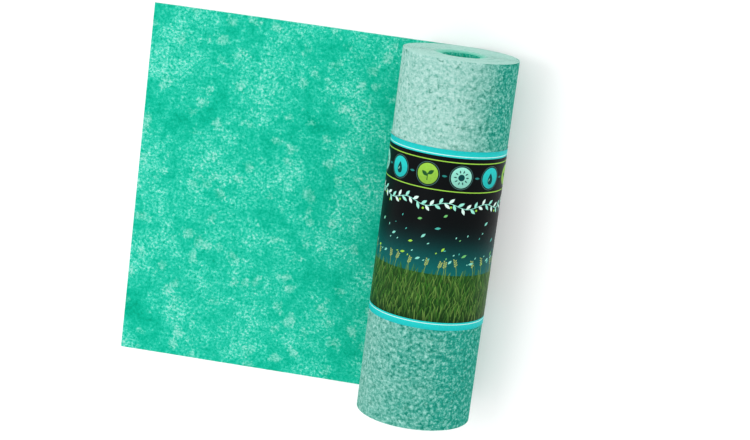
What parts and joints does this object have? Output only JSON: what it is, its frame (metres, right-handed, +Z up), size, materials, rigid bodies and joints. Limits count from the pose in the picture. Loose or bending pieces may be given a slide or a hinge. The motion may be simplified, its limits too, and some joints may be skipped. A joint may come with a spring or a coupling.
{
  "type": "roll of grass seed mat",
  "caption": "Seed mat wound on itself around an open bore, with its free end laid flat on the ground and a printed paper sleeve around the roll.",
  "frame": {"origin": "on the ground, at the centre of the footprint of the roll and the laid stretch together", "axes": "+Z up, +Y along the roll's axis, -X the way the mat is laid out from the roll"},
  "size_m": [0.6258, 0.61, 0.191],
  "materials": {
    "mat_fibre": "matt dyed pulp fibre web, vivid green on the laid face and pale mint on the back",
    "sleeve_print": "coated paper, near black with grass green and turquoise print, soft sheen"
  },
  "bodies": {
    "root": {"seed_mat": "mat_fibre", "printed_sleeve": "sleeve_print"}
  },
  "joints": []
}
